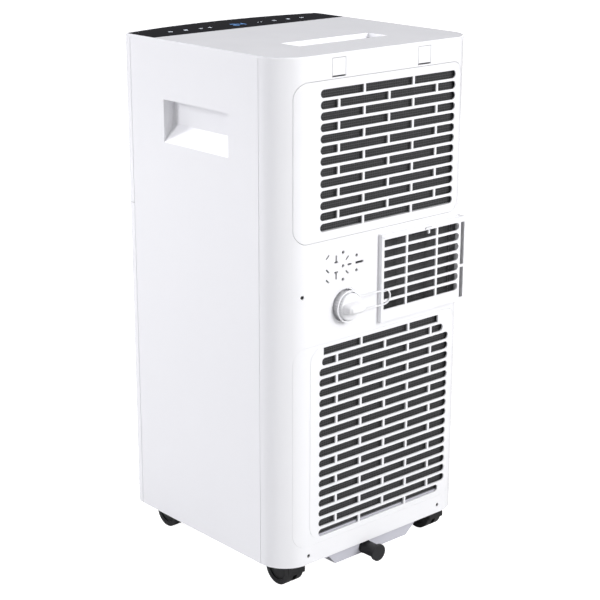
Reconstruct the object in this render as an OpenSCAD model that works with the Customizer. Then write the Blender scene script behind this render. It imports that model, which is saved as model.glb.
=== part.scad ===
// Portable air conditioner: a tall cabinet on four swivel casters.
// The front faces -Y, the rear with its intakes and exhaust port faces +Y, and Z = 0 is the floor.

/* [Cabinet] */
// Width of the cabinet across the side panels
body_w = 345; // [335:1:360]
// Depth of the cabinet from the front panel to the rear cover
body_d = 340; // [335:1:350]
// Height of the top cover above the plane the cabinet is drawn from
body_h = 703; // [700:1:715]
// Height of the cabinet's lower edge above the plane the cabinet is drawn from
body_z = 26; // [25.5:0.5:27]
// Plan radius of the two rear corners
corner_rear = 43; // [38:1:46]
// Plan radius of the two front corners
corner_front = 34; // [32:1:34]
// Plan radius of the bowed front
bow_r = 690; // [650:10:900]
// Wall thickness of the moulded shells
wall = 2.5; // [2:0.1:3]

/* [Intake grilles] */
// Vertical distance from one row of slots to the next
row_pitch = 14.15; // [13.6:0.05:14.2]
// Height of one slot
slot_h = 10.6; // [8:0.2:11]
// Width of the ribs that divide a row into bricks
rib_w = 3.4; // [3:0.2:5]
// Wall thickness of the grilles
grille_wall = 1.8; // [1.6:0.1:2.4]
// Length of one brick, from rib to rib
brick = 87.75; // [84:0.25:90]

/* [Exhaust port] */
// How far the exhaust frame stands off the rear cover
frame_out = 6.5; // [5:0.5:8]

/* [Drain] */
// Radius of the threaded cap on the upper drain
cap_r = 18; // [17:0.5:19]
// How far the drain cap stands off the rear cover
cap_out = 27; // [25:1:30]

/* [Casters] */
// Height of the plane the cabinet is drawn from above the floor
body_lift = 10; // [8:0.5:12]
// Radius of the caster wheels
wheel_r = 23; // [22:0.5:23]

/* [Hidden] */
$fn = 64;

// Cabinet planes. The drain cap is the rearmost piece, so the box's middle lies behind the cabinet's.
rear_y = (body_d + cap_out) / 2 - cap_out;
front_y = rear_y - body_d;
half_w = body_w / 2;
top_t = 3;
shell_top = body_h - top_t;
seam_front = front_y + 34;
seam_rear = rear_y - 43.5;
seam_gap = 0.4;
front_split_z = 473;

// Rows of slots, from the top row down.
upper_rows = 13;
upper_z = 654.8;
lower_rows = 19;
lower_z = 320.2;
slots_left = 108.5;
slots_right = -133.5;
first_rib = 77.2;

// The two removable or separate rear panels: [x from, x to, z from, z to], and their corner radius.
upper_panel = [-148, 150, 467.5, 671.5];
lower_panel = [-148, 150, 52, 331];
panel_r = 20;
panel_gap = 0.6;

// Exhaust frame: [x from, x to, z from, z to].
frame = [-155.5, 4.5, 340, 459.5];
exhaust_rows = 7;
exhaust_z = 447;
exhaust_slots = [-142.5, 0];
exhaust_ribs = [-42.2, -99.5];

// Drains.
drain_x = 64;
drain_z = 375.5;
dish_r = 24;
loop_z = drain_z;
loop_r = 10.5;
sump_y = [rear_y - 130, rear_y - 9];
sump_x = 14;
sump_z = 14;

// Front outlet.
outlet = [-118, 118, 612, 664];
vane_n = 5;
vane_pitch = 46;
outlet_y = front_y + 14;
louver_y = front_y + 18;
vane_y = front_y + 60;

// Cable gland on the right side panel.
cord_y = rear_y - 62;
cord_z = 90;

// Casters.
caster_x = 134;
caster_rear_y = rear_y - 42;
caster_front_y = rear_y - 280;
trail = 3;
hood_r = 26.5;
hood_half = 13.5;
well_r = 33.4;
well_top = 57;
stem_top = well_top + body_lift;

// Fans.
evap_fan = [0, 565];
cond_fan = [-40, 178];

white = [0.93, 0.93, 0.94];
black = [0.05, 0.05, 0.055];

// ---------- shared shapes ----------

// Outline of the cabinet in plan, moved in by i.
module plan(i = 0) intersection() {
    box_plan(i);
    translate([0, front_y + bow_r]) circle(bow_r - i, $fn = 720);
}

// The outline before its front is bowed.
module box_plan(i) {
    x = half_w - i;
    rr = corner_rear - i;
    rf = corner_front - i;
    translate([-x, front_y + i + rf]) square([2 * x, body_d - 2 * i - rr - rf]);
    translate([-x + rr, rear_y - i - rr - 1]) square([2 * (x - rr), rr + 1]);
    translate([-x + rf, front_y + i]) square([2 * (x - rf), rf + 1]);
    for (s = [-1, 1]) {
        translate([s * (x - rr), rear_y - i - rr]) circle(rr);
        translate([s * (x - rf), front_y + i + rf]) circle(rf);
    }
}

// The cabinet's wall between two heights, kept between two depths.
module wall_band(z0, z1, y0, y1, i = 0, t = wall) {
    translate([0, 0, z0]) linear_extrude(z1 - z0) intersection() {
        difference() {
            plan(i);
            plan(i + t);
        }
        translate([-half_w - 1, y0]) square([body_w + 2, y1 - y0]);
    }
}

// A rectangle [x0, x1, z0, z1] with round corners, moved in by i.
module round_rect(b, r, i = 0) {
    rr = r - i;
    translate([b[0] + i, b[2] + i + rr]) square([b[1] - b[0] - 2 * i, b[3] - b[2] - 2 * i - 2 * rr]);
    translate([b[0] + i + rr, b[2] + i]) square([b[1] - b[0] - 2 * i - 2 * rr, b[3] - b[2] - 2 * i]);
    for (x = [b[0] + i + rr, b[1] - i - rr], z = [b[2] + i + rr, b[3] - i - rr])
        translate([x, z]) circle(rr);
}

// Stands a drawing made in X and Z up, and pushes it from y0 to y1.
module stand(y0, y1) {
    translate([0, y1, 0]) rotate([90, 0, 0]) linear_extrude(y1 - y0) children();
}

// A cylinder along Y.
module rod_y(r, y0, y1, x = 0, z = 0) {
    translate([x, y1, z]) rotate([90, 0, 0]) cylinder(r = r, h = y1 - y0);
}

// A cylinder along X.
module rod_x(r, x0, x1, y = 0, z = 0) {
    translate([x0, y, z]) rotate([0, 90, 0]) cylinder(r = r, h = x1 - x0);
}

// A box given by its corners.
module box(a, b) {
    translate(a) cube(b - a);
}

// One slot, round at the ends that aren't at a rib.
module slot(x0, x1, z, left_round, right_round) {
    r = slot_h / 2;
    a = x0 + (right_round ? r : 0);
    b = x1 - (left_round ? r : 0);
    translate([a, z - r]) square([b - a, slot_h]);
    if (right_round) translate([a, z]) circle(r);
    if (left_round) translate([b, z]) circle(r);
}

// One row of slots from x0 to x1 with ribs at the given places, listed from +X to -X.
module slot_row(x0, x1, z, ribs, left_round = true, right_round = true) {
    cuts = concat([x1 + rib_w / 2], ribs, [x0 - rib_w / 2]);
    for (k = [0 : len(cuts) - 2])
        slot(cuts[k + 1] + rib_w / 2, cuts[k] - rib_w / 2, z,
            left_round && k == 0, right_round && k == len(cuts) - 2);
}

function row_ribs(i) = i % 2 == 0 ? [for (k = [1, 3]) first_rib - k * brick / 2]
    : [for (k = [0, 2, 4]) first_rib - k * brick / 2];

// ---------- shells ----------

module base_pan() color([0.80, 0.80, 0.83]) {
    difference() {
        union() {
            translate([0, 0, body_z]) linear_extrude(3) plan(3.2);
            wall_band(body_z + 3, 62, front_y, rear_y, 3.2, 2);
            for (c = caster_spots()) intersection() {
                translate([c[0], c[1], body_z]) cylinder(r = well_r + 2.5, h = well_top + 3 - body_z);
                translate([0, 0, body_z]) linear_extrude(60) plan(3.2);
            }
        }
        for (c = caster_spots()) translate([c[0], c[1], body_z - 1]) {
            cylinder(r = well_r, h = well_top - body_z + 1);
            cylinder(r = 5, h = 60);
        }
        // The mouth of the sump.
        box([-84, sump_y[0] + 4, body_z - 1], [84, sump_y[1] - 4, body_z + 4]);
    }
}

// The sump's outline, narrower at its foot and with a step at its left end.
module sump_shape(i) {
    polygon([[-93 + i, body_z - 0.1], [95 - i, body_z - 0.1], [88 - i, 19 + i], [80 - i, 19 + i],
        [68 - i, 5 + i], [-68 + i, 5 + i]]);
}

module drain_sump() color([0.80, 0.80, 0.83]) difference() {
    stand(sump_y[0], sump_y[1]) sump_shape(0);
    stand(sump_y[0] + 2.5, sump_y[1] - 2.5) {
        sump_shape(2.5);
        translate([-84, 22]) square([168, 6]);
    }
    rod_y(7.2, rear_y - 20, rear_y, sump_x, sump_z);
}

function caster_spots() = [for (y = [caster_front_y, caster_rear_y], x = [caster_x, -caster_x]) [x, y]];

module rear_cover() color(white) difference() {
    wall_band(body_z, shell_top, seam_rear + seam_gap, rear_y);
    stand(rear_y - 60, rear_y + 1) {
        round_rect(upper_panel, panel_r);
        round_rect(lower_panel, panel_r);
        for (x = latch_spots()) translate([x - 11.6, latch_z0 - 2]) square([23.2, latch_h + 2.6]);
        translate([drain_x, drain_z]) circle(dish_r);
        translate([frame[0] + 3, frame[2] + 3]) square([frame[1] - frame[0] - 6, frame[3] - frame[2] - 5.5]);
        plug_holes();
        for (s = screw_spots()) translate(s) circle(2.6);
    }
}

plug_at = [63, 429];
latch_z0 = 675.5;
latch_h = 21.5;
function latch_spots() = [78, -73];
function screw_spots() = [[137.5, 399.7], [125.5, 38], [-122, 38]];

// Parking holes for the plug: round pins, flat blades and slanted blades.
module plug_holes() translate([plug_at[0], plug_at[1]]) {
    for (z = [-18, 0, 18]) translate([5, z]) circle(2.2);
    for (z = [-10, 10]) translate([-19, z]) circle(2.2);
    translate([-10, -1.3]) square([7, 2.6]);
    translate([-31, -1.6]) square([14, 3.2]);
    for (s = [-1, 1]) {
        translate([-2.2, s * 9.5]) rotate(-s * 45) square([7, 2], center = true);
        translate([17, s * 11]) square([2.6, 10], center = true);
        translate([17, s * 6.6]) square([6.4, 2.2], center = true);
        translate([32, s * 16]) rotate(-s * 45) square([7, 2.2], center = true);
    }
    translate([32, -2.6]) rotate(45) square([7, 2.2], center = true);
}

// The side panel on the +X side, with its hand pocket.
module side_panel() {
    pocket = [rear_y - 235, rear_y - 102, 568, 625];
    depth = 17.5;
    floor_rise = 23;
    difference() {
        union() {
            wall_band(body_z, shell_top, seam_front + seam_gap, seam_rear - seam_gap);
            box([half_w - depth - wall, pocket[0] - wall, pocket[2] - wall],
                [half_w - 0.5, pocket[1] + wall, pocket[3] + wall]);
        }
        translate([-half_w - 1, front_y, 0]) cube([half_w + 1, body_d, body_h]);
        // The hand pocket: its floor slopes up to the back wall.
        translate([0, pocket[1], 0]) rotate([90, 0, 0]) linear_extrude(pocket[1] - pocket[0])
            polygon([[half_w + 1, pocket[2] - 1], [half_w - depth, pocket[2] + floor_rise],
                [half_w - depth, pocket[3]], [half_w + 1, pocket[3]]]);
    }
}

module side_panel_left() color(white) side_panel();

module side_panel_right() color(white) difference() {
    mirror([1, 0, 0]) side_panel();
    rod_x(8, -half_w - 1, -half_w + 8, cord_y, cord_z);
}

module front_upper_panel() color(white) difference() {
    union() {
        wall_band(front_split_z + seam_gap, shell_top, front_y, seam_front - seam_gap);
        // The collar that carries the opening back to the outlet frame.
        intersection() {
            stand(front_y - 1, outlet_y - 0.3) round_rect(outlet, 10, -2);
            linear_extrude(body_h) plan(0.5);
        }
    }
    stand(front_y - 1, front_y + 20) round_rect(outlet, 8);
}

module front_lower_panel() color(white)
    wall_band(body_z, front_split_z - seam_gap, front_y, seam_front - seam_gap);

strip_y = rear_y - 256;
scoop = [-76, 79, rear_y - 108, rear_y - 72];
scoop_d = 8;

module top_cover() color(white) difference() {
    union() {
        translate([0, 0, shell_top]) linear_extrude(top_t - 1) plan(0);
        translate([0, 0, body_h - 1]) linear_extrude(1) plan(0.8);
        box([scoop[0] - 3, scoop[2] - 3, shell_top - scoop_d - 0.5],
            [scoop[1] + 3, scoop[3] + 3, shell_top + 1]);
        wall_band(shell_top - 6, shell_top + 1, front_y, rear_y, wall + 0.4, 1.8);
    }
    // Seat of the control overlay.
    translate([0, 0, body_h - 1.6]) linear_extrude(3) intersection() {
        plan(2.6);
        translate([-half_w, front_y]) square([body_w, strip_y - front_y]);
    }
    box([-45, front_y + 30, body_h - 5], [45, strip_y - 20, body_h]);
    // The scoop: a straight front wall and a floor that rises to the rear.
    translate([scoop[0], 0, 0]) rotate([90, 0, 90]) linear_extrude(scoop[1] - scoop[0])
        polygon([[scoop[2], body_h + 1], [scoop[2], body_h - scoop_d],
            [scoop[2] + 6, body_h - scoop_d], [scoop[3], body_h], [scoop[3], body_h + 1]]);
}

module control_overlay() color(black)
    translate([0, 0, body_h - 1.6]) linear_extrude(1.5) intersection() {
        plan(2.8);
        translate([-half_w, front_y]) square([body_w, strip_y - 0.2 - front_y]);
    }

module control_board() color([0.1, 0.35, 0.2]) {
    box([-130, front_y + 20, shell_top - 12], [130, strip_y - 12, shell_top - 10.4]);
    box([-40, front_y + 34, shell_top - 10.4], [40, strip_y - 24, shell_top - 0.5]);
}

// ---------- rear panels ----------

// A panel that follows the cabinet's wall inside the outline b.
module wall_panel(b, gap) {
    intersection() {
        wall_band(b[2] - 5, b[3] + 5, seam_rear, rear_y, 0, grille_wall);
        stand(rear_y - 60, rear_y + 1) round_rect(b, panel_r, gap);
    }
}

module upper_filter_panel() color(white) difference() {
    union() {
        wall_panel(upper_panel, panel_gap);
        // Frame that holds the mesh behind the slots.
        box([-139, rear_y - 10, 477], [118, rear_y - grille_wall + 0.1, 479.5]);
        box([-139, rear_y - 10, 661.5], [118, rear_y - grille_wall + 0.1, 664]);
        for (x = [-141.5, 115.5]) box([x, rear_y - 10, 477], [x + 2.5, rear_y - grille_wall + 0.1, 664]);
    }
    stand(rear_y - wall - 0.2, rear_y + 1) for (i = [0 : upper_rows - 1])
        slot_row(slots_right, slots_left, upper_z - i * row_pitch, row_ribs(i));
}

// A filter mesh, as one thin sheet with upright ribs in front of it.
module mesh_sheet(b, y) {
    box([b[0], y, b[2]], [b[1], y + 1.2, b[3]]);
    for (x = [b[0] : (b[1] - b[0]) / 4 : b[1] - 1]) box([x, y - 2, b[2]], [x + 2, y, b[3]]);
}

module upper_filter_mesh() color([0.28, 0.28, 0.29]) mesh_sheet([-138.6, 115.2, 479.8, 661.2], rear_y - 7);

module filter_latch(x) color(white) {
    box([x - 11, rear_y - wall, latch_z0], [x + 11, rear_y, latch_z0 + latch_h]);
    box([x - 8, rear_y - 4, latch_z0], [x + 8, rear_y - wall, latch_z0 + latch_h - 4]);
    box([x - 14, rear_y - 5, latch_z0], [x + 14, rear_y - wall - 0.4, latch_z0 + latch_h - 4]);
}

module filter_latch_left() filter_latch(latch_spots()[0]);

module filter_latch_right() filter_latch(latch_spots()[1]);

module lower_grille() color(white) difference() {
    union() {
        wall_panel(lower_panel, 0.2);
        intersection() {
            stand(rear_y - 0.5, rear_y + 0.5)
                round_rect([-124, 124, lower_panel[2] + 6, lower_panel[3] - 4], panel_r);
            translate([-200, rear_y - 1, 0]) cube([400, 3, 400]);
        }
    }
    stand(rear_y - wall - 1, rear_y + 2) {
        slot_row(-111.7, 101.2, lower_z, row_ribs(0), false, false);
        slot_row(-122, 104, lower_z - row_pitch, row_ribs(1));
        for (i = [2 : lower_rows - 2])
            slot_row(slots_right, slots_left, lower_z - i * row_pitch, row_ribs(i));
        slot_row(-121, slots_left, lower_z - (lower_rows - 1) * row_pitch, row_ribs(0));
    }
}

module lower_filter_mesh() color([0.28, 0.28, 0.29]) mesh_sheet([-138, 114, 63, 327], rear_y - 7);

// ---------- exhaust port ----------

module exhaust_frame() color(white) difference() {
    box([frame[0], rear_y - 14, frame[2]], [frame[1], rear_y + frame_out, frame[3]]);
    // Everything behind the face is hollow, and the curved cover passes behind the right end.
    box([frame[0] + 2.2, rear_y - 15, frame[2] + 2.2],
        [frame[1] - 2.2, rear_y + frame_out - 2.2, frame[3] - 2.2]);
    translate([0, 0, frame[2] - 1]) linear_extrude(frame[3] - frame[2] + 2) intersection() {
        plan(-0.2);
        translate([-half_w - 2, front_y]) square([body_w, body_d + 2]);
    }
    stand(rear_y + frame_out - 5, rear_y + frame_out + 1) {
        for (i = [0 : exhaust_rows - 1])
            slot_row(exhaust_slots[0], exhaust_slots[1], exhaust_z - i * row_pitch,
                exhaust_ribs, false, true);
        // Long slots for the hose adapter's claws, with a short bridge between them.
        translate([-153, 345]) square([7, 43]);
        translate([-153, 392]) square([7, 60]);
        translate([-89, 453.2]) square([13, 3.2]);
        translate([1.2, 455]) circle(1);
        translate([1.2, 393]) circle(0.7);
    }
}

module hose_lock_tab() color([0.9, 0.9, 0.91])
    {
        box([-88.4, rear_y + 1, 453.7], [-76.6, rear_y + frame_out + 1.5, 455.9]);
        box([-88.4, rear_y + 1, 445.7], [-85.4, rear_y + 3.5, 455.9]);
    }

// Guard mesh at the mouth of the duct.
module exhaust_mesh() color([0.28, 0.28, 0.29]) {
    box([-143.5, rear_y - 13.8, 340.5], [1.5, rear_y - 12.8, 456.5]);
    for (z = [340.5, 454.5]) box([-143.5, rear_y - 12.8, z], [1.5, rear_y - 11, z + 2]);
}

module exhaust_duct() color([0.85, 0.85, 0.86]) difference() {
    box([-142, 22, 338], [0, rear_y - 14.5, 458]);
    box([-139.5, 24.5, 340.5], [-2.5, rear_y, 455.5]);
    box([-130, 30, 330], [-6, 88, 345]);
}

// ---------- drains ----------

module drain_spout() color(white) difference() {
    union() {
        rod_y(dish_r - 0.2, rear_y - 14, rear_y - 11, drain_x, drain_z);
        difference() {
            rod_y(dish_r - 0.2, rear_y - 14, rear_y, drain_x, drain_z);
            rod_y(dish_r - 2, rear_y - 11, rear_y + 1, drain_x, drain_z);
        }
        rod_y(11, rear_y - 40, rear_y + 6, drain_x, drain_z);
        for (y = [0, 3]) rod_y(12.2, rear_y + y - 1, rear_y + y + 0.5, drain_x, drain_z);
    }
    rod_y(8, rear_y - 41, rear_y + 7, drain_x, drain_z);
}

module cap_seal() color([0.75, 0.75, 0.76]) {
    rod_y(7.7, rear_y - 6, rear_y + 6.4, drain_x, drain_z);
    rod_y(11, rear_y + 6.3, rear_y + 8.7, drain_x, drain_z);
    rod_y(4, rear_y + 8.7, rear_y + 10.7, drain_x, drain_z);
}

module drain_cap() color([0.95, 0.95, 0.95]) difference() {
    union() {
        rod_y(cap_r, rear_y - 4, rear_y + 13, drain_x, drain_z);
        box([drain_x - cap_r, rear_y + 12, drain_z - 5], [drain_x + cap_r, rear_y + cap_out, drain_z + 5]);
        rod_y(10, rear_y + 12, rear_y + cap_out - 4, drain_x, drain_z);
        for (a = [0 : 30 : 330]) translate([drain_x + cap_r * cos(a), 0, drain_z + cap_r * sin(a)])
            rod_y(1, rear_y - 4, rear_y + 11);
    }
    rod_y(12.8, rear_y - 5, rear_y + 8.9, drain_x, drain_z);
    rod_y(4.1, rear_y + 8, rear_y + 10.9, drain_x, drain_z);
}

// A thin loop: a collar round the cap, two straight runs and a round end.
module cap_tether() color([0.93, 0.93, 0.94]) stand(rear_y + 7.4, rear_y + 9.2) {
    difference() {
        translate([drain_x, loop_z]) circle(cap_r + 3.4);
        translate([drain_x, loop_z]) circle(cap_r + 1.6);
    }
    difference() {
        union() {
            translate([0, loop_z - loop_r]) square([drain_x, 2 * loop_r]);
            translate([0, loop_z]) circle(loop_r);
        }
        translate([0, loop_z - loop_r + 1.6]) square([drain_x, 2 * loop_r - 3.2]);
        translate([0, loop_z]) circle(loop_r - 1.6);
        translate([drain_x, loop_z]) circle(cap_r + 2.5);
    }
}

module bottom_drain_spout() color(black) difference() {
    union() {
        rod_y(7, rear_y - 18, rear_y + 10, sump_x, sump_z);
        rod_y(10, rear_y - 8.8, rear_y - 6.5, sump_x, sump_z);
    }
    rod_y(5, rear_y - 19, rear_y + 11, sump_x, sump_z);
}

module bottom_drain_plug() color(black) {
    difference() {
        rod_y(9.5, rear_y - 6, rear_y + 18, sump_x, sump_z);
        rod_y(7.3, rear_y - 7, rear_y + 10.5, sump_x, sump_z);
    }
    rod_y(4.7, rear_y - 2, rear_y + 12, sump_x, sump_z);
    rod_y(12, rear_y + 17, rear_y + 20.5, sump_x, sump_z);
}

// ---------- refrigeration ----------

// A finned coil: a fin block, end plates and return bends along one side.
module coil(x0, x1, y0, y1, z0, z1) {
    box([x0 + 12, y0, z0], [x1 - 12, y1, z1]);
    for (x = [x0 + 8, x1 - 12]) box([x, y0 - 2, z0 - 2], [x + 4, y1 + 2, z1 + 2]);
    for (z = [z0 + 12 : 24 : z1 - 14], y = [y0 + 10, y1 - 10]) {
        rod_x(3.5, x0, x0 + 9, y, z);
        rod_x(3.5, x1 - 9, x1, y, z);
    }
}

module evaporator_coil() color([0.75, 0.76, 0.78]) coil(-142, 120, 100, 138, 482, 660);

module condenser_coil() color([0.75, 0.76, 0.78]) coil(-142, 120, 100, 138, 64, 324);

comp = [92, -96];
comp_lugs = [30, 150, 270];
comp_z = 62;

module compressor() color([0.12, 0.12, 0.13]) translate([comp[0], comp[1], 0]) {
    translate([0, 0, comp_z]) cylinder(r = 44, h = 11);
    translate([0, 0, comp_z + 3]) cylinder(r = 52, h = 214 - comp_z);
    translate([0, 0, 217]) cylinder(r1 = 52, r2 = 30, h = 16);
    translate([0, 0, 233]) cylinder(r = 14, h = 10);
    translate([-42, 42, 75]) cylinder(r = 20, h = 115);
    box([-42, 25, 85], [-25, 42, 95]);
    for (a = comp_lugs) rotate(a) translate([40, -9, comp_z]) cube([24, 18, 5]);
}

module compressor_feet() color(black) translate([comp[0], comp[1], 0])
    for (a = comp_lugs) rotate(a) translate([57, 0, body_z + 3.1]) cylinder(r = 9, h = comp_z - body_z - 3.2);

// A pipe through a list of points, with round elbows.
module pipe(p, r) {
    for (k = [0 : len(p) - 2]) {
        d = p[k + 1] - p[k];
        l = norm(d);
        translate(p[k]) rotate([0, acos(d[2] / l), atan2(d[1], d[0])]) cylinder(r = r, h = l);
        if (k > 0) translate(p[k]) sphere(r);
    }
}

module refrigerant_pipes() color([0.72, 0.42, 0.25]) {
    pipe([[comp[0], comp[1], 243.2], [comp[0], comp[1], 292], [comp[0], 40, 292],
        [134, 40, 292], [134, 110, 292], [120.2, 110, 292]], 4);
    pipe([[comp[0] - 42, comp[1] + 42, 190.2], [comp[0] - 42, comp[1] + 42, 330],
        [140, comp[1] + 42, 330], [140, comp[1] + 42, 518], [140, 110, 518], [120.2, 110, 518]], 5);
    pipe([[120.2, 128, 76], [134, 128, 76], [134, 128, 494], [120.2, 128, 494]], 2);
}

module partition_deck() color([0.88, 0.88, 0.89]) difference() {
    union() {
        translate([0, 0, 461]) linear_extrude(3) difference() {
            plan(6);
            translate([-half_w, seam_rear + 28]) square([body_w, 60]);
        }
        difference() {
            box([-146, 92, 464], [124, 139.5, 474]);
            box([-144, 94, 466], [122, 137.5, 475]);
        }
    }
    translate([140, comp[1] + 42, 455]) cylinder(r = 7, h = 20);
    translate([134, 128, 455]) cylinder(r = 4, h = 20);
}

// ---------- fans ----------

// A scroll housing round a fan that turns about Y, open to the rear. mouth is [x from, x to, z to].
module scroll(c, r, y0, y1, mouth, top_open) {
    difference() {
        union() {
            rod_y(r + 14, y0, y1, c[0], c[1]);
            box([mouth[0], y0, c[1]], [mouth[1], y1, mouth[2]]);
        }
        rod_y(r + 11.5, y0 + 2.5, y1 - 2.5, c[0], c[1]);
        box([mouth[0] + 2.5, y0 + 2.5, c[1]], [mouth[1] - 2.5, y1 - 2.5, mouth[2] + (top_open ? 1 : -2.5)]);
        if (!top_open) box([mouth[0] + 2.5, y0 - 1, outlet[2]], [mouth[1] - 2.5, y0 + 4, outlet[3]]);
        rod_y(r - 12, y1 - 4, y1 + 1, c[0], c[1]);
        rod_y(10, y0 - 1, y0 + 4, c[0], c[1]);
    }
}

// A squirrel-cage wheel: a back plate, blades, a front ring and a hub.
module squirrel_wheel(c, r, y0, y1) {
    blades = 24;
    rod_y(r, y0, y0 + 2, c[0], c[1]);
    difference() {
        rod_y(r, y1 - 3, y1, c[0], c[1]);
        rod_y(r - 10, y1 - 4, y1 + 1, c[0], c[1]);
    }
    rod_y(9, y0, y0 + 20, c[0], c[1]);
    rod_y(4, y0 - 16, y0 + 1, c[0], c[1]);
    for (k = [0 : blades - 1]) translate([c[0], 0, c[1]]) rotate([0, k * 360 / blades, 0])
        box([r - 10, y0 + 1, -0.8], [r - 0.5, y1 - 1, 0.8]);
}

// A fan motor, bored for the wheel's shaft.
module fan_motor(c, r, y0, y1) difference() {
    union() {
        rod_y(r, y0, y1, c[0], c[1]);
        rod_y(r * 0.45, y0 - 6, y0 + 1, c[0], c[1]);
        rod_y(r + 4, y1 - 4, y1, c[0], c[1]);
    }
    rod_y(4.05, y1 - 20, y1 + 1, c[0], c[1]);
}

module blower_scroll() color([0.86, 0.86, 0.87]) scroll(evap_fan, 78, 14, 88, [-92, 30, 684], false);

module blower_wheel() color(black) squirrel_wheel(evap_fan, 78, 20, 82);

module blower_motor() color([0.6, 0.6, 0.62]) fan_motor(evap_fan, 34, -46, 13.5);

module condenser_scroll() color([0.86, 0.86, 0.87]) scroll(cond_fan, 82, 22, 96, [-136, -20, 337.5], true);

module condenser_wheel() color(black) squirrel_wheel(cond_fan, 82, 28, 90);

module condenser_motor() color([0.6, 0.6, 0.62]) fan_motor(cond_fan, 40, -44, 21.5);

// ---------- front outlet ----------

module outlet_frame() color([0.2, 0.2, 0.21]) difference() {
    box([outlet[0] - 5, outlet_y, outlet[2] - 5], [outlet[1] + 5, 13.5, outlet[3] + 5]);
    box([outlet[0], front_y, outlet[2]], [outlet[1], 14, outlet[3]]);
    for (x = vane_spots()) translate([x, vane_y, outlet[2] - 4]) cylinder(r = 2, h = 60);
    rod_x(3, outlet[0] - 6, outlet[1] + 6, louver_y, (outlet[2] + outlet[3]) / 2);
}

function vane_spots() = [for (k = [0 : vane_n - 1]) (k - (vane_n - 1) / 2) * vane_pitch];

module louver_blade() color(white) {
    z = (outlet[2] + outlet[3]) / 2;
    stand(louver_y - 5, louver_y - 2.5)
        round_rect([outlet[0] + 1, outlet[1] - 1, outlet[2] + 1.5, outlet[3] - 1.5], 6);
    for (x = [outlet[0] + 1.5, outlet[1] - 3.5]) box([x, louver_y - 4, z - 4], [x + 2, louver_y + 4, z + 4]);
    rod_x(2.95, outlet[0] - 4, outlet[0] + 3, louver_y, z);
    rod_x(2.95, outlet[1] - 3, outlet[1] + 4, louver_y, z);
}

// One upright vane with its two pivots.
module vane(k) color([0.25, 0.25, 0.26]) {
    x = vane_spots()[k];
    box([x - 0.9, vane_y - 14, outlet[2] + 2], [x + 0.9, vane_y + 14, outlet[3] - 2]);
    translate([x, vane_y, outlet[2] - 3]) cylinder(r = 1.95, h = outlet[3] - outlet[2] + 6);
}

module vane_1() vane(0);
module vane_2() vane(1);
module vane_3() vane(2);
module vane_4() vane(3);
module vane_5() vane(4);

// The link bar lies behind the vanes, with a pair of fingers at each one.
module vane_link() color([0.25, 0.25, 0.26]) {
    z = (outlet[2] + outlet[3]) / 2;
    box([-105, vane_y + 17, z - 1.5], [105, vane_y + 19.5, z + 1.5]);
    for (x = vane_spots(), s = [-1, 1])
        box([x + s * 4.2 - 0.8, vane_y + 9, z - 1.5], [x + s * 4.2 + 0.8, vane_y + 17.5, z + 1.5]);
}

module louver_motor() color([0.75, 0.76, 0.78]) {
    z = (outlet[2] + outlet[3]) / 2;
    rod_x(13, outlet[1] + 5.3, outlet[1] + 21, louver_y + 12, z);
    rod_x(2, outlet[1] + 4.3, outlet[1] + 6, louver_y, z);
}

module electrical_box() color([0.55, 0.56, 0.58]) {
    box([-150, -120, 345], [-20, -50, 448]);
    rod_x(18, -15, 55, -80, 380);
    box([-20, -86, 374], [-15, -74, 386]);
}

module splash_motor() color([0.6, 0.6, 0.62]) {
    rod_y(16, 30, 62, 84, 66);
    rod_y(3, 62, 68, 84, 66);
}

module splash_wheel() color(black) {
    difference() {
        rod_y(22, 68.3, 74, 84, 66);
        rod_y(17, 70, 75, 84, 66);
    }
    for (a = [0 : 45 : 315]) translate([84, 0, 66]) rotate([0, a, 0]) box([16, 70, -1], [26, 74, 1]);
}

// ---------- casters ----------

// The swivelling hood of a caster: s is 1 where the wheel trails to the rear.
module caster_fork(c, s) color(black) translate([c[0], c[1], 0]) {
    difference() {
        union() {
            rod_x(hood_r, -hood_half, hood_half, s * trail, wheel_r);
            translate([0, 0, 40]) cylinder(r = 12, h = stem_top - 40.6);
            translate([0, 0, stem_top - 1]) cylinder(r = 4.93, h = 5);
        }
        for (k = [-1, 1])
            rod_x(wheel_r + 1.2, min(k * 3, k * 16), max(k * 3, k * 16), s * trail, wheel_r);
        translate([-20, -40, -10]) cube([40, 80, 29]);
        rod_x(3.06, -4, 4, s * trail, wheel_r);
    }
    // The web between the wheels that carries the axle.
    difference() {
        rod_x(8, -2.8, 2.8, s * trail, wheel_r);
        rod_x(3.06, -4, 4, s * trail, wheel_r);
    }
}

module caster_wheels(c, s) color(black) translate([c[0], c[1], 0]) {
    rod_x(3, -12, 12, s * trail, wheel_r);
    for (k = [-1, 1]) difference() {
        rod_x(wheel_r, min(k * 3.4, k * 13.2), max(k * 3.4, k * 13.2), s * trail, wheel_r);
        rod_x(16, min(k * 11.4, k * 14), max(k * 11.4, k * 14), s * trail, wheel_r);
    }
}

module caster_fork_fl() caster_fork(caster_spots()[0], -1);
module caster_fork_fr() caster_fork(caster_spots()[1], -1);
module caster_fork_rl() caster_fork(caster_spots()[2], 1);
module caster_fork_rr() caster_fork(caster_spots()[3], 1);
module caster_wheels_fl() caster_wheels(caster_spots()[0], -1);
module caster_wheels_fr() caster_wheels(caster_spots()[1], -1);
module caster_wheels_rl() caster_wheels(caster_spots()[2], 1);
module caster_wheels_rr() caster_wheels(caster_spots()[3], 1);

module rear_screws() color([0.5, 0.5, 0.52]) for (s = screw_spots()) {
    rod_y(2.3, rear_y - 3, rear_y - 0.8, s[0], s[1]);
}

module cord_gland() color(black) difference() {
    union() {
        rod_x(7.8, -half_w, -half_w + 12, cord_y, cord_z);
        rod_x(11, -half_w + wall + 0.3, -half_w + 6, cord_y, cord_z);
    }
    rod_x(4, -half_w - 1, -half_w + 13, cord_y, cord_z);
}

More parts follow.
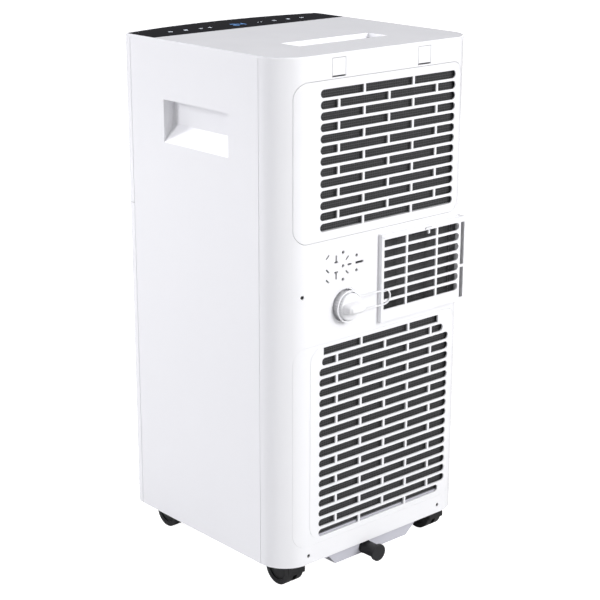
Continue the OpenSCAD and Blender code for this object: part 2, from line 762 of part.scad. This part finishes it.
// Everything above the casters stands on them, higher than the plane it is drawn from.
module lifted() translate([0, 0, body_lift]) children();

lifted() base_pan();
lifted() drain_sump();
lifted() rear_cover();
lifted() side_panel_left();
lifted() side_panel_right();
lifted() front_upper_panel();
lifted() front_lower_panel();
lifted() top_cover();
lifted() control_overlay();
lifted() control_board();
lifted() upper_filter_panel();
lifted() filter_latch_left();
lifted() filter_latch_right();
lifted() upper_filter_mesh();
lifted() lower_grille();
lifted() lower_filter_mesh();
lifted() exhaust_frame();
lifted() exhaust_mesh();
lifted() hose_lock_tab();
lifted() exhaust_duct();
lifted() drain_cap();
lifted() cap_seal();
lifted() drain_spout();
lifted() cap_tether();
lifted() bottom_drain_spout();
lifted() bottom_drain_plug();
lifted() evaporator_coil();
lifted() condenser_coil();
lifted() compressor();
lifted() compressor_feet();
lifted() refrigerant_pipes();
lifted() partition_deck();
lifted() blower_scroll();
lifted() blower_wheel();
lifted() blower_motor();
lifted() condenser_scroll();
lifted() condenser_wheel();
lifted() condenser_motor();
lifted() louver_blade();
lifted() vane_1();
lifted() vane_2();
lifted() vane_3();
lifted() vane_4();
lifted() vane_5();
lifted() vane_link();
lifted() louver_motor();
lifted() outlet_frame();
lifted() electrical_box();
lifted() splash_motor();
lifted() splash_wheel();
caster_fork_fl();
caster_fork_fr();
caster_fork_rl();
caster_fork_rr();
caster_wheels_fl();
caster_wheels_fr();
caster_wheels_rl();
caster_wheels_rr();
lifted() rear_screws();
lifted() cord_gland();
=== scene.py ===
"""Portable air conditioner: materials, detailed pieces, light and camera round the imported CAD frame."""
import math
import bmesh
import bpy
from mathutils import Euler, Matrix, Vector


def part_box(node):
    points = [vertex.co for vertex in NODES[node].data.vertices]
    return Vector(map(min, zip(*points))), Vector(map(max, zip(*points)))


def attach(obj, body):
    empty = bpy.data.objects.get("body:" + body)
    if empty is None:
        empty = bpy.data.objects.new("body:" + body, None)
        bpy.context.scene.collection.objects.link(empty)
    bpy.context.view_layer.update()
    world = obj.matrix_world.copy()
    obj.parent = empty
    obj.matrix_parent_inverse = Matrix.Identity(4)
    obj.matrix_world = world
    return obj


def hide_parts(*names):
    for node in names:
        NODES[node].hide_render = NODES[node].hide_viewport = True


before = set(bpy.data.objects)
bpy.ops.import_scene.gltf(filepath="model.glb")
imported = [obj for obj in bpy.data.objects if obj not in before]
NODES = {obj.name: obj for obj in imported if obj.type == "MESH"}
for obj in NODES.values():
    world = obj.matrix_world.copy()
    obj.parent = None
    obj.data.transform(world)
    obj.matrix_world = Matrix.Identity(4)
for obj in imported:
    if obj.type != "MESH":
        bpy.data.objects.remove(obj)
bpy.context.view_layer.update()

MM = 0.001
ROOT = "cabinet"

# ---------- planes taken from the frame ----------

REAR_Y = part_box("rear_cover")[1].y
TOP_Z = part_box("top_cover")[1].z


# ---------- materials ----------

def node_material(name):
    """A new material, with its shader and its node tree."""
    mat = bpy.data.materials.new(name)
    mat.use_nodes = True
    tree = mat.node_tree
    return mat, tree.nodes["Principled BSDF"], tree


def add_noise(tree, scale, detail=3.0, stretch=(1, 1, 1)):
    """A noise texture in object coordinates, in metres."""
    coords = tree.nodes.new("ShaderNodeTexCoord")
    mapping = tree.nodes.new("ShaderNodeMapping")
    mapping.inputs["Scale"].default_value = stretch
    noise = tree.nodes.new("ShaderNodeTexNoise")
    noise.inputs["Scale"].default_value = scale
    noise.inputs["Detail"].default_value = detail
    tree.links.new(coords.outputs["Object"], mapping.inputs["Vector"])
    tree.links.new(mapping.outputs["Vector"], noise.inputs["Vector"])
    return noise


def add_range(tree, source, low, high):
    """Maps a 0 to 1 value to the range low to high."""
    node = tree.nodes.new("ShaderNodeMapRange")
    node.inputs["To Min"].default_value = low
    node.inputs["To Max"].default_value = high
    tree.links.new(source, node.inputs["Value"])
    return node.outputs["Result"]


def plastic(name, colour, rough=(0.25, 0.35), vary=0.03, grain=1500.0, grain_depth=0.02, coat=0.0, ior=1.46):
    """Moulded plastic: faint colour drift, uneven gloss and a fine moulded grain."""
    mat, shader, tree = node_material(name)
    drift = add_noise(tree, 6.0)
    ramp = tree.nodes.new("ShaderNodeValToRGB")
    ramp.color_ramp.elements[0].color = (*[c * (1 - vary) for c in colour], 1)
    ramp.color_ramp.elements[1].color = (*[min(1, c * (1 + vary)) for c in colour], 1)
    tree.links.new(drift.outputs["Fac"], ramp.inputs["Fac"])
    tree.links.new(ramp.outputs["Color"], shader.inputs["Base Color"])
    smudge = add_noise(tree, 14.0, 5.0)
    tree.links.new(add_range(tree, smudge.outputs["Fac"], *rough), shader.inputs["Roughness"])
    fine = add_noise(tree, grain, 2.0)
    bump = tree.nodes.new("ShaderNodeBump")
    bump.inputs["Strength"].default_value = grain_depth
    bump.inputs["Distance"].default_value = 0.0002
    tree.links.new(fine.outputs["Fac"], bump.inputs["Height"])
    tree.links.new(bump.outputs["Normal"], shader.inputs["Normal"])
    shader.inputs["IOR"].default_value = ior
    shader.inputs["Coat Weight"].default_value = coat
    shader.inputs["Coat Roughness"].default_value = 0.08
    return mat


def metal(name, colour, rough=(0.3, 0.45), stretch=(1, 1, 30)):
    """Bare metal with a drawn grain."""
    mat, shader, tree = node_material(name)
    grain = add_noise(tree, 60.0, 6.0, stretch)
    ramp = tree.nodes.new("ShaderNodeValToRGB")
    ramp.color_ramp.elements[0].color = (*[c * 0.85 for c in colour], 1)
    ramp.color_ramp.elements[1].color = (*colour, 1)
    tree.links.new(grain.outputs["Fac"], ramp.inputs["Fac"])
    tree.links.new(ramp.outputs["Color"], shader.inputs["Base Color"])
    tree.links.new(add_range(tree, grain.outputs["Fac"], *rough), shader.inputs["Roughness"])
    shader.inputs["Metallic"].default_value = 1.0
    return mat


def glowing(name, colour, strength):
    """A lit mark on the control strip, slightly uneven like a diode behind a mask."""
    mat, shader, tree = node_material(name)
    shader.inputs["Base Color"].default_value = (*colour, 1)
    shader.inputs["Emission Color"].default_value = (*colour, 1)
    uneven = add_noise(tree, 400.0)
    level = add_range(tree, uneven.outputs["Fac"], strength * 0.8, strength)
    tree.links.new(level, shader.inputs["Emission Strength"])
    return mat


SHELL = plastic("shell_white", (0.86, 0.86, 0.885), (0.18, 0.24), 0.006, 1800, 0.006, coat=0.15)
SMALL_WHITE = plastic("moulding_white", (0.84, 0.84, 0.86), (0.25, 0.33), 0.01, 1800, 0.01)
# The base pan and drain sump are painted a lilac grey as painted shade: the tone of the pan in the shadow
# under the shell.
PAN_PAINTED_SHADE = plastic("pan_grey", (0.56, 0.56, 0.62), (0.35, 0.45), 0.02, 1200, 0.03)
STRIP = plastic("strip_black", (0.003, 0.003, 0.0035), (0.22, 0.28), 0.0, 2000, 0.002, ior=1.06)
BOARD = plastic("circuit_green", (0.02, 0.12, 0.05), (0.4, 0.5), 0.2)
THREAD = plastic("mesh_thread", (0.075, 0.075, 0.078), (0.45, 0.6), 0.1)
# Near-black sheet behind the filter threads: painted shade, standing for the dark seen through the openings
# of the mesh.
MESH_GAP_SHADE = plastic("mesh_gap_painted_shade", (0.040, 0.040, 0.042), (0.6, 0.8), 0.15)
GUARD = plastic("guard_grey", (0.085, 0.085, 0.088), (0.5, 0.65), 0.1, 900, 0.05)
RUBBER = plastic("rubber_black", (0.016, 0.016, 0.018), (0.42, 0.55), 0.1, 900, 0.08)
CASTER = plastic("caster_black", (0.010, 0.010, 0.011), (0.30, 0.42), 0.1, 1000, 0.05)
FAN = plastic("fan_black", (0.02, 0.02, 0.022), (0.35, 0.5), 0.1)
DUCT = plastic("duct_dark", (0.03, 0.03, 0.033), (0.45, 0.6), 0.1)
INNER = plastic("inner_grey", (0.42, 0.42, 0.44), (0.45, 0.6), 0.04)
SEAL = plastic("seal_grey", (0.25, 0.25, 0.26), (0.5, 0.65), 0.06)
PAINTED = plastic("painted_black", (0.015, 0.015, 0.017), (0.3, 0.45), 0.1, 700, 0.05)
FINS = metal("fin_aluminium", (0.72, 0.73, 0.75), (0.3, 0.45), (40, 1, 1))
STEEL = metal("plain_steel", (0.55, 0.55, 0.57))
SCREW = metal("screw_dark", (0.10, 0.10, 0.105), (0.25, 0.4))
COPPER = metal("copper_tube", (0.70, 0.36, 0.22))
LIT_WHITE = glowing("lit_white", (0.75, 0.80, 0.88), 0.7)
LIT_BLUE = glowing("lit_blue", (0.15, 0.35, 0.75), 0.8)


# ---------- CAD nodes that stay ----------

def soften(piece, width, segments=3, angle=35):
    """Smooth shading between shallow facets, and rounded edges."""
    piece.data.shade_smooth()
    piece.data.set_sharp_from_angle(angle=math.radians(angle))
    if width:
        bevel = piece.modifiers.new("edge_round", "BEVEL")
        bevel.width = width
        bevel.segments = segments
        bevel.limit_method = "ANGLE"
        bevel.angle_limit = math.radians(angle)
        bevel.use_clamp_overlap = True
        bevel.harden_normals = False


def paint(piece, mat):
    piece.data.materials.clear()
    piece.data.materials.append(mat)


# Node: material and edge radius in millimetres.
FINISH = {
    "base_pan": (PAN_PAINTED_SHADE, 0.8), "drain_sump": (PAN_PAINTED_SHADE, 1.2), "exhaust_mesh": (GUARD, 0),
    "rear_cover": (SHELL, 0.5), "side_panel_left": (SHELL, 0.5),
    "side_panel_right": (SHELL, 0.5), "front_upper_panel": (SHELL, 0.5), "front_lower_panel": (SHELL, 0.5),
    "top_cover": (SHELL, 0.6), "control_overlay": (STRIP, 0.3), "control_board": (BOARD, 0),
    "upper_filter_panel": (SHELL, 0.4), "filter_latch_left": (SHELL, 0.5), "filter_latch_right": (SHELL, 0.5),
    "upper_filter_mesh": (MESH_GAP_SHADE, 0), "lower_grille": (SHELL, 0.4), "lower_filter_mesh": (MESH_GAP_SHADE, 0),
    "exhaust_frame": (SHELL, 0.5), "hose_lock_tab": (SMALL_WHITE, 0.3), "exhaust_duct": (INNER, 0),
    "drain_cap": (SMALL_WHITE, 1.2), "cap_seal": (SEAL, 0.4), "drain_spout": (SHELL, 0.4),
    "cap_tether": (SMALL_WHITE, 0.5), "bottom_drain_spout": (RUBBER, 0.5), "bottom_drain_plug": (RUBBER, 1.0),
    "evaporator_coil": (FINS, 0), "condenser_coil": (FINS, 0), "compressor": (PAINTED, 2.0),
    "compressor_feet": (RUBBER, 1.0), "refrigerant_pipes": (COPPER, 0), "partition_deck": (INNER, 0),
    "blower_scroll": (INNER, 0), "blower_wheel": (FAN, 0), "blower_motor": (STEEL, 0.8),
    "condenser_scroll": (INNER, 0), "condenser_wheel": (FAN, 0), "condenser_motor": (STEEL, 0.8),
    "louver_blade": (SHELL, 0.4), "vane_link": (DUCT, 0.2), "louver_motor": (STEEL, 0.5),
    "outlet_frame": (DUCT, 0.4), "electrical_box": (STEEL, 0.8), "splash_motor": (STEEL, 0.5),
    "splash_wheel": (FAN, 0), "rear_screws": (STEEL, 0), "cord_gland": (RUBBER, 0.5),
}

for node_name, node_object in NODES.items():
    if node_name.startswith("vane_") and node_name != "vane_link":
        look, edge = DUCT, 0.3
    elif node_name.startswith("caster"):
        look, edge = CASTER, 1.0
    else:
        look, edge = FINISH[node_name]
    paint(node_object, look)
    soften(node_object, edge * MM)

# ---------- building blocks for new pieces ----------

def new_piece(name, bm, mat, body, edge=0.0, angle=35):
    """Turns a bmesh into a piece of the object that rides on a body."""
    bmesh.ops.remove_doubles(bm, verts=bm.verts, dist=1e-6)
    bmesh.ops.recalc_face_normals(bm, faces=bm.faces)
    data = bpy.data.meshes.new(name)
    bm.to_mesh(data)
    bm.free()
    piece = bpy.data.objects.new(name, data)
    bpy.context.scene.collection.objects.link(piece)
    paint(piece, mat)
    soften(piece, edge, 3, angle)
    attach(piece, body)
    return piece


def add_box(bm, low, high):
    """A box given by two opposite corners."""
    corners = [bm.verts.new((x, y, z))
               for x in (low[0], high[0]) for y in (low[1], high[1]) for z in (low[2], high[2])]
    for a, b, c, d in ((0, 1, 3, 2), (4, 6, 7, 5), (0, 4, 5, 1), (2, 3, 7, 6), (0, 2, 6, 4), (1, 5, 7, 3)):
        bm.faces.new((corners[a], corners[b], corners[c], corners[d]))


def add_rings(bm, rings, close_start=True, close_end=True):
    """A skin over a list of closed rings of points, each with the same count."""
    rows = [[bm.verts.new(p) for p in ring] for ring in rings]
    count = len(rows[0])
    for near, far in zip(rows, rows[1:]):
        for k in range(count):
            n = (k + 1) % count
            bm.faces.new((near[k], near[n], far[n], far[k]))
    if close_start:
        bm.faces.new(rows[0])
    if close_end:
        bm.faces.new(rows[-1])


def circle_y(centre, radius, y, count=64, wobble=0.0, waves=0):
    """A ring of points about the Y axis; wobble and waves give it a scalloped edge."""
    points = []
    for k in range(count):
        turn = 2 * math.pi * k / count
        r = radius + wobble * math.cos(waves * turn)
        points.append((centre[0] + r * math.cos(turn), y, centre[1] + r * math.sin(turn)))
    return points


def circle_x(centre, radius, x, count=64):
    """A ring of points about the X axis."""
    return [(x, centre[0] + radius * math.cos(2 * math.pi * k / count),
             centre[1] + radius * math.sin(2 * math.pi * k / count)) for k in range(count)]


def oval_y(centre, half_x, half_z, y, count=64, power=3.0):
    """A rounded rectangle of points about the Y axis, as a superellipse."""
    points = []
    for k in range(count):
        turn = 2 * math.pi * k / count
        c, s = math.cos(turn), math.sin(turn)
        points.append((centre[0] + half_x * math.copysign(abs(c) ** (2 / power), c), y,
                       centre[1] + half_z * math.copysign(abs(s) ** (2 / power), s)))
    return points


# ---------- drain cap ----------

SKIRT_LENGTH = 17 * MM


def make_drain_cap():
    """A scalloped screw cap with a tapered wing to turn it by."""
    low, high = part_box("drain_cap")
    centre = ((low.x + high.x) / 2, (low.z + high.z) / 2)
    radius = (high.x - low.x) / 2 - 1.0 * MM
    skirt_end = low.y + SKIRT_LENGTH
    bm = bmesh.new()
    scallop, waves, facets = 0.35 * MM, 30, 180
    rings = [circle_y(centre, radius - 3.4 * MM, low.y + 10 * MM, facets),
             circle_y(centre, radius - 3.4 * MM, low.y, facets),
             circle_y(centre, radius - 0.2 * MM, low.y, facets),
             circle_y(centre, radius, low.y + 0.6 * MM, facets, scallop, waves),
             circle_y(centre, radius, skirt_end - 2.0 * MM, facets, scallop, waves)]
    for step in range(1, 7):
        turn = math.pi / 2 * step / 6
        rings.append(circle_y(centre, radius - 2.2 * MM * (1 - math.cos(turn)),
                              skirt_end - 2.0 * MM + 2.0 * MM * math.sin(turn), facets))
    rings.append(circle_y(centre, radius * 0.5, skirt_end + 0.3 * MM, facets))
    add_rings(bm, rings)
    cap = new_piece("cap_skirt", bm, SMALL_WHITE, "drain_cap")
    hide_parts("drain_cap")
    bm = bmesh.new()
    steps = 10
    rings = []
    for step in range(steps + 1):
        t = step / steps
        swell = math.sin(math.pi / 2 * min(1.0, (1 - t) * 5)) ** 0.5 if t > 0.8 else 1.0
        pinch = 1 - 0.18 * t
        rings.append(oval_y(centre, radius * 0.93 * pinch * max(swell, 0.80),
                            radius * (0.42 - 0.10 * t) * max(swell, 0.6),
                            skirt_end - 1 * MM + (high.y - skirt_end + 1 * MM) * t, 72, 3.2))
    add_rings(bm, rings)
    new_piece("cap_wing", bm, SMALL_WHITE, "drain_cap", 0.8 * MM)


# ---------- guard and filter meshes ----------

FILTER_PITCH, FILTER_THREAD = 3.2 * MM, 0.55 * MM
GUARD_PITCH, GUARD_THREAD = 4.5 * MM, 0.8 * MM


def make_threads(name, node, body, pitch, thick):
    """Crossed threads lying on the rear face of a CAD mesh sheet."""
    low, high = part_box(node)
    bm = bmesh.new()
    face = high.y
    across = int((high.x - low.x) / pitch)
    up = int((high.z - low.z) / pitch)
    for k in range(across + 1):
        x = low.x + (high.x - low.x) * k / across
        add_box(bm, (x - thick / 2, face, low.z), (x + thick / 2, face + thick * 0.7, high.z))
    for k in range(up + 1):
        z = low.z + (high.z - low.z) * k / up
        add_box(bm, (low.x, face + thick * 0.35, z - thick / 2), (high.x, face + thick * 1.1, z + thick / 2))
    new_piece(name, bm, THREAD, body)


# ---------- screws ----------

HEAD_RADIUS = 2.2 * MM
SAME_SCREW = 8 * MM


def make_screw_heads():
    """Domed heads with a round recess, sunk in the rear cover, one for each cluster of CAD vertices."""
    node = NODES["rear_screws"]
    spots = []
    for vertex in node.data.vertices:
        spot = next((s for s in spots
                     if math.hypot(s[0] - vertex.co.x, s[1] - vertex.co.z) < SAME_SCREW), None)
        if spot is None:
            spots.append([vertex.co.x, vertex.co.z, []])
            spot = spots[-1]
        spot[2].append(vertex.co.copy())
    bm = bmesh.new()
    for spot in spots:
        middle = sum(spot[2], Vector()) / len(spot[2])
        face = max(p.y for p in spot[2])
        profile = ((1.0, 2.0), (1.0, 0.5), (0.85, 0.15), (0.6, 0.0), (0.3, 0.9))
        add_rings(bm, [circle_y((middle.x, middle.z), HEAD_RADIUS * share, face - depth * MM, 32)
                       for share, depth in profile])
    heads = new_piece("screw_heads", bm, SCREW, ROOT)
    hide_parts("rear_screws")


# ---------- caster trim ----------

CAP_RADIUS = 15.6 * MM


def make_caster_trim():
    """A domed cap on the outer face of each wheel."""
    for corner in ("fl", "fr", "rl", "rr"):
        low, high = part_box("caster_wheels_" + corner)
        centre = ((low.y + high.y) / 2, (low.z + high.z) / 2)
        bm = bmesh.new()
        for side, face in ((-1, low.x), (1, high.x)):
            rings = []
            for step in range(9):
                turn = math.pi / 2 * step / 8
                rings.append(circle_x(centre, CAP_RADIUS * math.cos(turn) + 0.05 * MM,
                                      face - side * 1.7 * MM + side * 1.6 * MM * math.sin(turn), 48))
            add_rings(bm, rings)
        new_piece("wheel_caps_" + corner, bm, CASTER, "wheels_" + corner)


# ---------- control strip ----------

def add_flat(bm, points, z, thick=0.12 * MM):
    """A thin raised mark with the given outline, on the top."""
    add_rings(bm, [[(x, y, z) for x, y in points], [(x, y, z + thick) for x, y in points]])


def ring_mark(x, y, radius, width, start=0.0, end=2 * math.pi, count=24):
    """Outlines of a ring or an arc, as short straight pieces."""
    pieces = []
    for k in range(count):
        a, b = (start + (end - start) * t / count for t in (k, k + 1))
        pieces.append([(x + r * math.cos(t), y + r * math.sin(t))
                       for r, t in ((radius, a), (radius + width, a), (radius + width, b), (radius, b))])
    return pieces


def bar_mark(x, y, length, width, turn):
    """Outline of a straight bar about its middle."""
    c, s = math.cos(turn), math.sin(turn)
    return [(x + c * u - s * v, y + s * u + c * v)
            for u, v in ((-length / 2, -width / 2), (length / 2, -width / 2),
                         (length / 2, width / 2), (-length / 2, width / 2))]


def make_control_marks():
    """Generic touch marks, and a lit display with two seven-bar digits."""
    low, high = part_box("control_overlay")
    z = high.z
    y = (low.y + high.y) / 2 + 8 * MM
    marks = bmesh.new()
    for x in (118 * MM, 92 * MM, -66 * MM, -92 * MM, -118 * MM):
        for outline in ring_mark(x, y, 2.6 * MM, 0.5 * MM, 0.4, 5.9):
            add_flat(marks, outline, z)
    add_flat(marks, bar_mark(118 * MM, y, 3.6 * MM, 0.5 * MM, 1.57), z)
    for turn in (0.0, 1.05, 2.09):
        add_flat(marks, bar_mark(92 * MM, y, 5.0 * MM, 0.5 * MM, turn), z)
    for x, turns in ((-66 * MM, (0.0,)), (-92 * MM, (0.0, 1.57)), (-118 * MM, (0.8,))):
        for turn in turns:
            add_flat(marks, bar_mark(x, y, 3.2 * MM, 0.5 * MM, turn), z)
    for x in (66 * MM, 50 * MM):
        for row in (-1, 0, 1):
            add_flat(marks, bar_mark(x, y + row * 2 * MM, 4.0 * MM, 0.5 * MM, 0.0), z)
    for x in (-36 * MM, -42 * MM):
        for outline in ring_mark(x, y, 0.1 * MM, 0.9 * MM):
            add_flat(marks, outline, z)
    new_piece("touch_marks", marks, LIT_WHITE, ROOT)
    digits = bmesh.new()
    bar, thick, gap = 7 * MM, 1.1 * MM, 12 * MM
    lit = {"2": "abged", "4": "fgbc"}
    for x, figure in ((gap / 2, "2"), (-gap / 2, "4")):
        places = {"a": (0, 1, 0), "g": (0, 0, 0), "d": (0, -1, 0), "f": (1, 0.5, 1), "b": (-1, 0.5, 1),
                  "e": (1, -0.5, 1), "c": (-1, -0.5, 1)}
        for key in lit[figure]:
            across, up, upright = places[key]
            add_flat(digits, bar_mark(x + across * bar / 2, y - up * bar, bar * 0.82, thick,
                                      math.pi / 2 * upright), z)
    new_piece("display_digits", digits, LIT_BLUE, ROOT)


make_drain_cap()
make_threads("upper_filter_threads", "upper_filter_mesh", "filter_door", FILTER_PITCH, FILTER_THREAD)
make_threads("lower_filter_threads", "lower_filter_mesh", ROOT, FILTER_PITCH, FILTER_THREAD)
make_threads("exhaust_threads", "exhaust_mesh", ROOT, GUARD_PITCH, GUARD_THREAD)
make_screw_heads()
make_caster_trim()
make_control_marks()

# ---------- camera ----------

AZIMUTH, ELEVATION, ROLL = math.radians(138.19), math.radians(17.13), math.radians(0.13)
LENS_MM = 95.41


def make_camera():
    """The photograph's point of view, found by fitting the cabinet's edges."""
    data = bpy.data.cameras.new("view_of_rear")
    data.sensor_width = 36.0
    data.lens = LENS_MM
    data.clip_start = 0.05
    data.clip_end = 50
    camera = bpy.data.objects.new("view_of_rear", data)
    bpy.context.scene.collection.objects.link(camera)
    camera.location = (1.4169, 1.4254 + REAR_Y, TOP_Z + 0.2846)
    back = Vector((math.sin(AZIMUTH) * math.cos(ELEVATION), -math.cos(AZIMUTH) * math.cos(ELEVATION),
                   math.sin(ELEVATION)))
    camera.rotation_mode = "QUATERNION"
    turn = (-back).to_track_quat("-Z", "Y")
    camera.rotation_quaternion = turn @ Euler((0, 0, ROLL)).to_quaternion()
    bpy.context.scene.camera = camera


# ---------- studio ----------

WORLD_LIGHT = 0.66
WORLD_FRONT = (0.26, 0.26, 0.29)
BACKDROP_LIGHT = 1.2
FLOOR_GLOW = 1.0
FLOOR_SIZE = 30
AIM = (0, 0, 0.4)


def make_floor():
    """A pale floor that looks white to the camera but throws back only half the light."""
    bpy.ops.mesh.primitive_plane_add(size=FLOOR_SIZE, location=(0, 0, 0))
    floor = bpy.context.object
    floor.name = "studio_floor"
    mat, shader, tree = node_material("floor_pale")
    shader.inputs["Base Color"].default_value = (0.5, 0.5, 0.5, 1)
    shader.inputs["Emission Color"].default_value = (1, 1, 1, 1)
    path = tree.nodes.new("ShaderNodeLightPath")
    glow = tree.nodes.new("ShaderNodeMath")
    glow.operation = "MULTIPLY"
    glow.inputs[1].default_value = FLOOR_GLOW
    tree.links.new(path.outputs["Is Camera Ray"], glow.inputs[0])
    tree.links.new(glow.outputs["Value"], shader.inputs["Emission Strength"])
    cloud = add_noise(tree, 1.5)
    tree.links.new(add_range(tree, cloud.outputs["Fac"], 0.75, 0.85), shader.inputs["Roughness"])
    floor.data.materials.append(mat)


def make_light(name, place, size, power, colour=(1, 1, 1), mirrored=True):
    """A soft box aimed at the cabinet; one that isn't mirrored leaves no reflection."""
    data = bpy.data.lights.new(name, "AREA")
    data.shape = "RECTANGLE"
    data.size, data.size_y = size
    data.energy = power
    data.color = colour
    light = bpy.data.objects.new(name, data)
    light.location = place
    light.visible_glossy = mirrored
    light.rotation_mode = "QUATERNION"
    light.rotation_quaternion = (Vector(AIM) - Vector(place)).to_track_quat("-Z", "Y")
    bpy.context.scene.collection.objects.link(light)


def make_world():
    """A white studio: brightest behind the rear, dimmer at the front, and plain white to look at."""
    world = bpy.data.worlds.new("studio_world")
    bpy.context.scene.world = world
    world.use_nodes = True
    tree = world.node_tree
    background = tree.nodes["Background"]
    coords = tree.nodes.new("ShaderNodeTexCoord")
    split = tree.nodes.new("ShaderNodeSeparateXYZ")
    ramp = tree.nodes.new("ShaderNodeValToRGB")
    ramp.color_ramp.elements[0].position = 0.30
    ramp.color_ramp.elements[0].color = (*WORLD_FRONT, 1)
    ramp.color_ramp.elements[1].position = 0.80
    ramp.color_ramp.elements[1].color = (1.0, 1.0, 1.0, 1)
    remap = tree.nodes.new("ShaderNodeMapRange")
    remap.inputs["From Min"].default_value = -1.0
    tree.links.new(coords.outputs["Generated"], split.inputs["Vector"])
    tree.links.new(split.outputs["Y"], remap.inputs["Value"])
    tree.links.new(remap.outputs["Result"], ramp.inputs["Fac"])
    tree.links.new(ramp.outputs["Color"], background.inputs["Color"])
    background.inputs["Strength"].default_value = WORLD_LIGHT
    backdrop = tree.nodes.new("ShaderNodeBackground")
    backdrop.inputs["Color"].default_value = (1, 1, 1, 1)
    backdrop.inputs["Strength"].default_value = BACKDROP_LIGHT
    path = tree.nodes.new("ShaderNodeLightPath")
    mix = tree.nodes.new("ShaderNodeMixShader")
    tree.links.new(path.outputs["Is Camera Ray"], mix.inputs["Fac"])
    tree.links.new(background.outputs["Background"], mix.inputs[1])
    tree.links.new(backdrop.outputs["Background"], mix.inputs[2])
    tree.links.new(mix.outputs["Shader"], tree.nodes["World Output"].inputs["Surface"])


make_camera()
make_floor()
make_world()
# Plain colour values, so that white plastic stays white.
bpy.context.scene.view_settings.view_transform = "Standard"
make_light("key_rear", (-0.9, 3.1, 1.8), (1.2, 1.6), 82, mirrored=False)
make_light("side_fill", (3.0, -1.5, 1.6), (1.0, 2.0), 58, (0.97, 0.97, 1.0))
make_light("front_fill", (1.2, -3.0, 1.7), (1.6, 2.0), 50)
make_light("right_fill", (-3.0, -1.2, 1.5), (1.0, 2.0), 36)
make_light("overhead", (0.0, 0.0, 3.0), (1.4, 1.4), 20)
